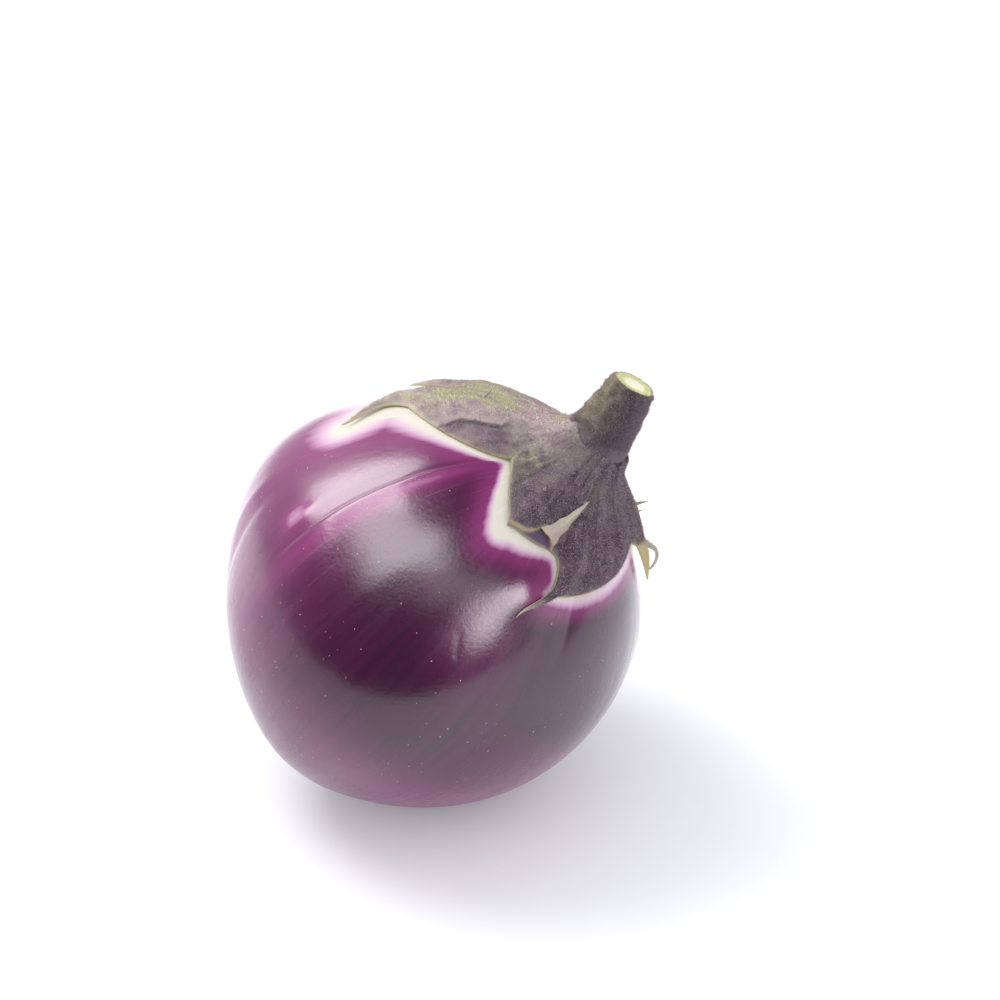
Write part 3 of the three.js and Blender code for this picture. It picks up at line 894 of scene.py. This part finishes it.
class EGGPLANT_OT_calyx(bpy.types.Operator):
    """Make the felted calyx with its pointed sepals, folded tip and prickles"""

    bl_idname = "eggplant.calyx"
    bl_label = "Calyx"

    def execute(self, context):
        scene = context.scene
        fruit, calyx = scene.eggplant_fruit, scene.eggplant_calyx
        parts = (fruit, calyx, scene.eggplant_stalk)
        azimuths = self.azimuths()
        start, end = collar_latitude(fruit, scene.eggplant_stalk), calyx_edge(azimuths)[2]
        outline = calyx_point(*parts, azimuths, end - 0.01, 0.0)
        # Rings run down the outer face, then back up the face on the skin.
        passes = [(share, 1.0) for share in np.linspace(0, 1, CALYX_OUTER_RINGS) ** 1.15]
        passes += [(share, 0.0) for share in np.linspace(1, 0, CALYX_INNER_RINGS)]
        rings, margins = [], []
        for share, layer in passes:
            latitude = start + (end - start) * share
            margin = distance_to(outline, calyx_point(*parts, azimuths, latitude, 0.0))
            rings.append(calyx_point(*parts, azimuths, latitude, layer, margin))
            margins.append(margin)
        # The collar closes on the stalk, so that no gap shows round it.
        rings[0] = rings[0] * np.array([0.93, 0.93, 1]) + np.array([0, 0, 0.25])
        points = np.concatenate(rings)
        faces = ring_faces(len(rings), len(azimuths), closed=True)
        share, layer = np.repeat(passes, len(azimuths), axis=0).T
        az, last = np.tile(azimuths, len(rings)), np.tile(end, len(rings))
        lat = start + (last - start) * share
        attributes = self.attributes(points, lat, az, layer, np.concatenate(margins))
        extras = [(folded_tip(*parts), TIP_LOOK), (curled_tip(fruit), TIP_LOOK)]
        extras += [(prickle(*parts, spec), PRICKLE_LOOK) for spec in PRICKLES]
        for (more, more_faces), look in extras:
            faces += [tuple(i + len(points) for i in face) for face in more_faces]
            points = np.concatenate([points, more])
            attributes = {key: np.append(v, np.full(len(more), look[key])) for key, v in attributes.items()}
        settle(make_piece("calyx_felted", points, faces, fruit, [calyx_material(calyx)], attributes), "calyx")
        return {"FINISHED"}

    @staticmethod
    def attributes(points, lat, az, layer, inward):
        """What colours the felt and where it grows, from 0 to 1."""
        which = calyx_edge(az)[0]
        lobe = of_sepal(which, "lobe")
        dry = smooth(lat, lobe - 2, of_sepal(which, "tip"))
        straw = smooth(lat, lobe - 3, lobe + 1) * (which == DOWNHILL_SEPAL)
        past, line = beyond_line(az, lat)
        _, below, near = ridge_face(az, lat)
        # Painted shade on the crease and on the face below it, and a painted highlight on the strip above it.
        shaded = near * smooth(below, -0.3, 0.5)
        crease, lit = near * bell(below - 0.25, 0.2), near * bell(below + 1.0, 0.9)
        fibres = noise(at_azimuth(az, 22, lat * 0.12), 1.3, 32)
        blotch = noise(points, 1.9, 53) + 0.6 * noise(points, 0.9, 54)
        uneven = 0.2 * noise(points, 5, 52) + 0.35 * fibres + 0.3 * blotch
        # Paler uphill and low on the near side, and darker in the crease as painted shade, with a painted
        # highlight on the strip above the crease.
        uphill = bell(turn(-112, az), 44) * (1 - 0.4 * shaded)
        foot = (1 - smooth(lat, 12, 22)) * bell(turn(-75, az), 70)
        bloom_and_painted_light = uphill + 0.2 * foot + uneven * (0.4 + 0.6 * uphill) + 0.3 * lit - 0.6 * crease
        bloom_and_painted_light += 0.9 * dry * (which == FRONT_SEPAL) + straw
        olive = sum(strength * spot(lat, az, *patch) for *patch, strength in OLIVE_PATCHES)
        olive = olive * (1 - 0.8 * shaded) * np.clip(0.7 + 0.8 * blotch, 0, 1.3)
        margin = 0.5 * np.exp(-inward / 0.25)
        # The crease's painted shade also thins the hairs there and makes the felt more violet.
        felted = layer * smooth(inward, 0, 1.2) * (1 - past) * (1 - 0.5 * crease) * (1 - 0.8 * straw)
        return {
            "bloom_and_painted_light": np.clip(bloom_and_painted_light, 0, 1),
            "olive": np.clip(1.15 * olive + 0.15 * uphill + 0.12 * noise(points, 6, 51), 0, 1),
            "violet": 0.9 * np.maximum(past, spot(lat, az, *VIOLET_PATCH)) + 0.1 * crease,
            "rim": np.maximum.reduce([margin, 0.3 * dry, 0.95 * straw, 0.8 * line * layer]),
            "scatter": felted * (0.8 + 0.4 * fibres),
        }

    @staticmethod
    def azimuths():
        """Azimuths round the calyx, closer together towards each sepal's awn."""
        shares = (np.arange(SEPAL_STEPS + 1) / SEPAL_STEPS) ** 1.5
        found = []
        for i, sepal in enumerate(SEPALS):
            before = turn(sepal["azimuth"], NOTCHES[i - 1]["azimuth"])
            after = turn(sepal["azimuth"], NOTCHES[i]["azimuth"])
            found += [sepal["azimuth"] + before * shares[:0:-1], sepal["azimuth"] + after * shares[:-1]]
        return np.concatenate(found)


class EGGPLANT_OT_stalk(bpy.types.Operator):
    """Make the ribbed, bent stalk and its cut end"""

    bl_idname = "eggplant.stalk"
    bl_label = "Stalk"

    def execute(self, context):
        fruit, stalk = context.scene.eggplant_fruit, context.scene.eggplant_stalk
        steps, foot, top = STALK_STEPS, STALK_PROFILE[0][0], STALK_PROFILE[-1][0]
        azimuths = 360 * np.arange(steps) / steps
        heights = [*np.linspace(STALK_BEND["start"], STALK_EDGE, STALK_RINGS)]
        heights += [*np.linspace(STALK_EDGE + 0.2, top, STALK_EDGE_RINGS)]
        rings, flank, bloom_and_painted_light = [], [], []
        for height, radius in zip(heights, np.interp(heights, *zip(*STALK_PROFILE))):
            ribbed = STALK_RIBS["depth"] * smooth(height, foot - 1, foot + 4)
            ribbed *= 1 - 0.6 * smooth(height, 71, 77)
            rib = ribbed * np.cos(np.radians(STALK_RIBS["count"] * (azimuths - SEPALS[0]["azimuth"])))
            # Knobs and wrinkles, as its skin dries.
            place = at_azimuth(azimuths, 7.0, height)
            edge = 1 - smooth(height, 76.4, 77.5)
            rough = 0.62 * noise(place * [1, 1, 0.4], 2.3, 61) + 0.42 * noise(place * [1, 1, 1.5], 1.9, 65)
            rough = (rough + 0.14 * noise(place, 0.9, 62)) * (0.35 + 0.65 * edge)
            rings.append(self.ring(azimuths, height, radius + rib + rough))
            pale = 0.75 * bell(turn(-78, azimuths), 46) * smooth(height, 61, 68)
            flank.append(pale * (0.8 + 0.4 * noise(place, 2.5, 63)))
            dusty = 0.6 * bell(turn(75, azimuths), 45) + 0.7 * (1 - smooth(height, 60, 65))
            bloom_and_painted_light.append(np.clip(dusty, 0, 1))
        rim = rings[-1]
        middle = rim.mean(0)
        way = unit(np.cross(rim[0] - middle, rim[steps // 4] - middle))
        for share in CUT_SHARES:
            ring = middle + (rim - middle) * share
            uneven = 0.16 * noise(ring, 1.3, 64) - 0.25 * (1 - share**2)
            rings.append(ring + way * uneven[:, None])
        points = np.concatenate([*rings, [middle - way * 0.25], [rings[0].mean(0)]])
        centre, seat, last = len(points) - 2, len(points) - 1, (len(rings) - 1) * steps
        faces = ring_faces(len(rings), steps)
        faces += [(last + j, centre, last + (j + 1) % steps) for j in range(steps)]
        faces += [(seat, j, (j + 1) % steps) for j in range(steps)]
        faces = [tuple(reversed(face)) for face in faces]
        # The cut end begins at the last ring of the bark.
        bark = len(heights) * steps
        slots = [int(bark - steps <= i < len(faces) - steps) for i in range(len(faces))]
        beyond = np.zeros(len(points) - bark)
        flank = np.concatenate([*flank, beyond])
        attributes = {
            "flank": flank,
            "olive": flank,
            "bloom_and_painted_light": np.concatenate([*bloom_and_painted_light, beyond]),
            "scatter": np.append(np.ones(bark), beyond),
            "ring": np.concatenate([np.zeros(bark - steps), np.repeat((1.0, *CUT_SHARES), steps), [0, 0]]),
        }
        materials = [bark_material(stalk), pith_material(stalk)]
        settle(make_piece("stalk_ribbed", points, faces, fruit, materials, attributes, slots), "stalk")
        return {"FINISHED"}

    @staticmethod
    def middle(height):
        share = max(0.0, (height - STALK_BEND["start"]) / (STALK_PROFILE[-1][0] - STALK_BEND["start"]))
        share **= STALK_BEND["power"]
        return Vector((-STALK_BEND["uphill"] * share, STALK_BEND["back"] * share, height))

    def ring(self, azimuths, height, radii):
        """A ring of the bent stalk, square to its middle line."""
        middle = self.middle(height)
        tilt = Vector((0, 0, 1)).rotation_difference(self.middle(height + 0.1) - middle).to_matrix()
        return at_azimuth(azimuths, radii, 0) @ np.array(tilt).T + np.array(middle)


def random_of(tree, low, high, seed):
    inputs = {2: low, 3: high, "Seed": seed}
    return add_node(tree, "FunctionNodeRandomValue", inputs, data_type="FLOAT").outputs[1]


def scatter_tree(name, material, sides, taper):
    """Small cones scattered over a surface, leaning at random from its normal.

    taper is the top radius of a cone over its bottom radius.
    """
    tree = bpy.data.node_groups.new(name, "GeometryNodeTree")
    face = tree.interface
    face.new_socket("Geometry", in_out="INPUT", socket_type="NodeSocketGeometry")
    for key in ("Density", "Length", "Radius", "Lean", "Least size"):
        face.new_socket(key, in_out="INPUT", socket_type="NodeSocketFloat")
    face.new_socket("Geometry", in_out="OUTPUT", socket_type="NodeSocketGeometry")
    given = tree.nodes.new("NodeGroupInput").outputs
    share = add_node(tree, "GeometryNodeInputNamedAttribute", {"Name": "scatter"}, data_type="FLOAT")
    density = math_of(tree, "MULTIPLY", share.outputs["Attribute"], given["Density"])
    scatter = add_node(
        tree, "GeometryNodeDistributePointsOnFaces",
        {"Mesh": given["Geometry"], "Density": density, "Seed": 71}, distribute_method="RANDOM",
    )
    low = math_of(tree, "MULTIPLY", given["Lean"], -1.0)
    slants = [random_of(tree, low, given["Lean"], seed) for seed in (72, 73, 74)]
    slant = add_node(tree, "ShaderNodeCombineXYZ", dict(enumerate(slants))).outputs[0]
    way = vector_of(tree, "ADD", scatter.outputs["Normal"], slant)
    turned = add_node(tree, "FunctionNodeAlignRotationToVector", {"Vector": way}, axis="Z")
    top = math_of(tree, "MULTIPLY", given["Radius"], taper)
    cone = add_node(
        tree, "GeometryNodeMeshCone",
        {"Vertices": sides, "Radius Top": top, "Radius Bottom": given["Radius"], "Depth": given["Length"]},
        fill_type="NGON" if taper else "NONE",
    )
    # One random value makes a cone both larger and brighter, which paints glints on the hairs.
    luck = random_of(tree, 0.0, 1.0, 76)
    marked = add_node(
        tree, "GeometryNodeStoreNamedAttribute",
        {"Geometry": scatter.outputs["Points"], "Name": "shine", "Value": luck},
        data_type="FLOAT", domain="POINT",
    )
    copies = add_node(
        tree, "GeometryNodeInstanceOnPoints",
        {
            "Points": marked.outputs["Geometry"],
            "Instance": cone.outputs["Mesh"],
            "Rotation": turned.outputs["Rotation"],
            "Scale": ranged(tree, luck, 0.0, 1.0, given["Least size"], 1.2),
        },
    )
    real = add_node(tree, "GeometryNodeRealizeInstances", {"Geometry": copies.outputs["Instances"]})
    dressed = add_node(tree, "GeometryNodeSetMaterial", {"Geometry": real.outputs[0], "Material": material})
    add_node(tree, "NodeGroupOutput", {"Geometry": dressed.outputs["Geometry"]})
    return tree


def scatter_over(name, base, values, material, sides, taper):
    """Cones scattered over a finished piece, as a plain mesh of its own."""
    holder = bpy.data.objects.new(name, base.data.copy())
    bpy.context.scene.collection.objects.link(holder)
    tree = scatter_tree(name, material, sides, taper)
    modifier = holder.modifiers.new(name, "NODES")
    modifier.node_group = tree
    sockets = {item.name: item.identifier for item in tree.interface.items_tree if item.in_out == "INPUT"}
    for key, value in values.items():
        modifier[sockets[key]] = value
    graph = bpy.context.evaluated_depsgraph_get()
    mesh = bpy.data.meshes.new_from_object(holder.evaluated_get(graph))
    bpy.data.objects.remove(holder)
    made = bpy.data.objects.new(name, mesh)
    bpy.context.scene.collection.objects.link(made)
    return made


def scatter_area(base):
    """The area of a piece that is scattered over, in square metres."""
    mesh = base.data
    values = np.zeros(len(mesh.vertices), np.float32)
    mesh.attributes["scatter"].data.foreach_get("value", values)
    return sum(face.area * values[list(face.vertices)].mean() for face in mesh.polygons)


class EGGPLANT_OT_felt(bpy.types.Operator):
    """Grow the short pale felt on the calyx and the stalk, and the corky pores of the skin"""

    bl_idname = "eggplant.felt"
    bl_label = "Felt and pores"

    def execute(self, context):
        scene = context.scene
        fruit, calyx, stalk = scene.eggplant_fruit, scene.eggplant_calyx, scene.eggplant_stalk
        greys = hair_material("Grey_star_hairs", "#caabbf", "#d6d5aa")
        browns = hair_material("Brown_star_hairs", "#a5828f", "#d2c6a4")
        hair = {"Length": calyx.felt_length, "Radius": 0.06 * MM, "Lean": 0.9, "Least size": 0.45}
        pore = {"Length": 0.05 * MM, "Radius": 0.13 * MM, "Lean": 0.0, "Least size": 0.4}
        made = (
            ("calyx_felt", "calyx_felted", calyx.felt_count, hair, "calyx", greys, 3, 0.0),
            ("stalk_felt", "stalk_ribbed", stalk.felt_count, hair, "stalk", browns, 3, 0.0),
            ("skin_pores", "skin", fruit.pore_count, pore, "skin", pore_material(), 7, 0.6),
        )
        for name, base_name, count, sizes, slot, material, sides, taper in made:
            base = bpy.data.objects[base_name]
            values = {"Density": count / scatter_area(base), **sizes}
            piece = scatter_over(name, base, values, material, sides, taper)
            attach(piece, "root")
        return {"FINISHED"}


class EGGPLANT_OT_stage(bpy.types.Operator):
    """Set the pale floor, the soft light and the camera"""

    bl_idname = "eggplant.stage"
    bl_label = "Stage"

    def execute(self, context):
        scene, settings, fruit = context.scene, context.scene.eggplant_stage, context.scene.eggplant_fruit
        scene.view_settings.view_transform = "Standard"
        middle = Vector((0, 0, fruit.centre_height))
        self.floor(settings)
        self.world(scene)
        for lamp in LAMPS:
            self.lamp(scene, middle, *lamp)
        self.camera(scene, settings, middle)
        return {"FINISHED"}

    def lamp(self, scene, middle, name, azimuth, elevation, distance, width, height, power, part, even):
        light = bpy.data.lights.new(name, "AREA")
        light.shape, light.size, light.size_y, light.energy = "RECTANGLE", width, height, power
        self.fade(light, even)
        lamp = bpy.data.objects.new(name, light)
        lamp.visible_diffuse, lamp.visible_glossy = part == "diffuse", part == "gloss"
        a, e = math.radians(azimuth), math.radians(elevation)
        away = Vector((math.sin(a) * math.cos(e), math.cos(a) * math.cos(e), math.sin(e)))
        # The width of a lamp lies across the depth of the stage, or level for the card at the side.
        across = (Vector((0, 1, 0)) if elevation > 45 else Vector((0, 0, 1))).cross(away).normalized()
        lamp.matrix_world = self.looking(middle + distance * away, across, away.cross(across), away)
        scene.collection.objects.link(lamp)

    @staticmethod
    def looking(place, right, up, back):
        """The pose of a lamp or a camera that looks away from back."""
        return Matrix.Translation(place) @ Matrix((right, up, back)).transposed().to_4x4()

    @staticmethod
    def fade(light, even):
        """Makes a lamp's face bright in its middle and dimmer towards its edges, as a softbox is."""
        light.use_nodes = True
        tree = light.node_tree
        tree.nodes.clear()
        face = add_node(tree, "ShaderNodeNewGeometry").outputs["Parametric"]
        away = vector_of(tree, "MULTIPLY", vector_of(tree, "SUBTRACT", face, (0.5, 0.5, 0)), (2, 2, 0))
        parts = add_node(tree, "ShaderNodeSeparateXYZ", {0: away}).outputs[:2]
        sizes = [math_of(tree, "ABSOLUTE", part) for part in parts]
        fades = [ranged(tree, size, even, 1.0, 1.0, 0.0, soft=True) for size in sizes]
        strength = math_of(tree, "MULTIPLY", *fades)
        shine = add_node(tree, "ShaderNodeEmission", {"Color": (1, 1, 1, 1), "Strength": strength})
        add_node(tree, "ShaderNodeOutputLight", {"Surface": shine.outputs[0]})

    @staticmethod
    def floor(settings):
        # Smooth white card with painted light: it glows a little to the camera and in reflections, as an
        # overexposed table does.
        material, tree, place = new_material("White_card")
        card = add_node(
            tree, "ShaderNodeBsdfPrincipled",
            {"Base Color": (*hex_linear("#f4f4f6"), 1), "Roughness": 0.75, "Specular IOR Level": 0.2},
        )
        # Painted reflection: glossy rays see it glow bright to the right and behind, but not close under
        # the fruit, which paints shade there.
        away = vector_of(tree, "LENGTH", place, output="Value")
        parts = add_node(tree, "ShaderNodeSeparateXYZ", {0: place}).outputs
        righter = ranged(tree, parts[0], -0.2, 0.08, soft=True)
        behind = ranged(tree, parts[1], 0.02, 0.12, 0.0, 0.9, soft=True)
        beyond = ranged(tree, away, 0.0, 0.11, 0.0, 0.85, soft=True)
        painted_reflection_share = math_of(tree, "MULTIPLY", math_of(tree, "MAXIMUM", righter, behind), beyond)
        # Painted light: the camera sees it glow brighter far from the fruit, so it is painted darker
        # round the fruit.
        far = ranged(tree, away, 0.2, 0.7, 0.16, 0.7, soft=True)
        ray = add_node(tree, "ShaderNodeLightPath").outputs
        painted_reflection_glow = math_of(tree, "MULTIPLY", ray["Is Glossy Ray"], painted_reflection_share)
        lift = math_of(tree, "MULTIPLY_ADD", ray["Is Camera Ray"], far, painted_reflection_glow)
        glow = add_node(tree, "ShaderNodeEmission", {"Color": (0.92, 0.99, 1, 1), "Strength": lift})
        both = add_node(tree, "ShaderNodeAddShader", {0: card.outputs["BSDF"], 1: glow.outputs["Emission"]})
        add_node(tree, "ShaderNodeOutputMaterial", {"Surface": both.outputs[0]})
        front, reach = -settings.floor_front, 2.2
        corners = [(-reach, front, 0), (reach, front, 0), (reach, reach, 0), (-reach, reach, 0)]
        mesh = bpy.data.meshes.new("floor")
        mesh.from_pydata(corners, [], [(0, 1, 2, 3)])
        mesh.materials.append(material)
        floor = bpy.data.objects.new("floor", mesh)
        bpy.context.scene.collection.objects.link(floor)

    @staticmethod
    def world(scene):
        """Pale to the camera and an even soft light, but in reflections dark in front and bright behind."""
        world = bpy.data.worlds.new("Studio")
        world.use_nodes = True
        tree = world.node_tree
        tree.nodes.clear()

        def background(colour, strength):
            inputs = {"Color": (*colour, 1), "Strength": strength}
            return add_node(tree, "ShaderNodeBackground", inputs).outputs[0]

        def blend(share, first, second):
            return add_node(tree, "ShaderNodeMixShader", {0: share, 1: first, 2: second}).outputs[0]

        way = add_node(tree, "ShaderNodeTexCoord").outputs["Generated"]
        left = vector_of(tree, "DOT_PRODUCT", way, (-0.55, 0.83, 0.0), output="Value")
        right = vector_of(tree, "DOT_PRODUCT", way, (0.94, -0.34, 0.0), output="Value")
        bright = ranged(tree, left, 0.1, 0.95, 0.03, 0.9, soft=True)
        room = math_of(tree, "ADD", bright, ranged(tree, right, 0.5, 0.95, 0.0, 0.28, soft=True))
        ray = add_node(tree, "ShaderNodeLightPath").outputs
        soft = blend(ray["Is Glossy Ray"], background((0.95, 0.95, 1), 0.95), background((1, 1, 1), room))
        both = blend(ray["Is Camera Ray"], soft, background((1, 1, 1), 1.0))
        add_node(tree, "ShaderNodeOutputWorld", {"Surface": both})
        scene.world = world

    def camera(self, scene, settings, middle):
        # The fruit's middle lands left of and below the middle of the picture.
        a, e = settings.camera_turn, settings.camera_height
        back = Vector((math.sin(a) * math.cos(e), -math.cos(a) * math.cos(e), math.sin(e)))
        right = Vector((math.cos(a), math.sin(a), 0))
        up = back.cross(right)
        data = bpy.data.cameras.new("Camera")
        data.lens = LENS
        data.clip_start, data.clip_end = 0.01, 20
        camera = bpy.data.objects.new("Camera", data)
        aside, above = CAMERA_SHIFT
        place = middle + back * settings.camera_distance + right * aside + up * above
        camera.matrix_world = self.looking(place, right, up, back)
        scene.collection.objects.link(camera)
        scene.camera = camera


class EGGPLANT_PT_panel(bpy.types.Panel):
    bl_idname = "EGGPLANT_PT_panel"
    bl_label = "Round Eggplant"
    bl_space_type = "VIEW_3D"
    bl_region_type = "UI"
    bl_category = "Eggplant"

    def draw(self, context):
        for part in ("fruit", "calyx", "stalk", "felt", "stage"):
            box = self.layout.box()
            settings = getattr(context.scene, "eggplant_" + part, None)
            for key in settings.__annotations__ if settings else ():
                box.prop(settings, key)
            box.operator("eggplant." + part)


CLASSES = (
    FruitSettings,
    CalyxSettings,
    StalkSettings,
    StageSettings,
    EGGPLANT_OT_fruit,
    EGGPLANT_OT_calyx,
    EGGPLANT_OT_stalk,
    EGGPLANT_OT_felt,
    EGGPLANT_OT_stage,
    EGGPLANT_PT_panel,
)
GROUPS = {
    "eggplant_fruit": FruitSettings,
    "eggplant_calyx": CalyxSettings,
    "eggplant_stalk": StalkSettings,
    "eggplant_stage": StageSettings,
}


def register():
    for cls in CLASSES:
        bpy.utils.register_class(cls)
    for name, group in GROUPS.items():
        setattr(bpy.types.Scene, name, bpy.props.PointerProperty(type=group))


def unregister():
    for name in GROUPS:
        delattr(bpy.types.Scene, name)
    for cls in reversed(CLASSES):
        bpy.utils.unregister_class(cls)


def main():
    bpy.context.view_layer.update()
    register()
    bpy.ops.eggplant.fruit()
    bpy.ops.eggplant.calyx()
    bpy.ops.eggplant.stalk()
    bpy.ops.eggplant.felt()
    bpy.ops.eggplant.stage()


if __name__ == "__main__":
    main()
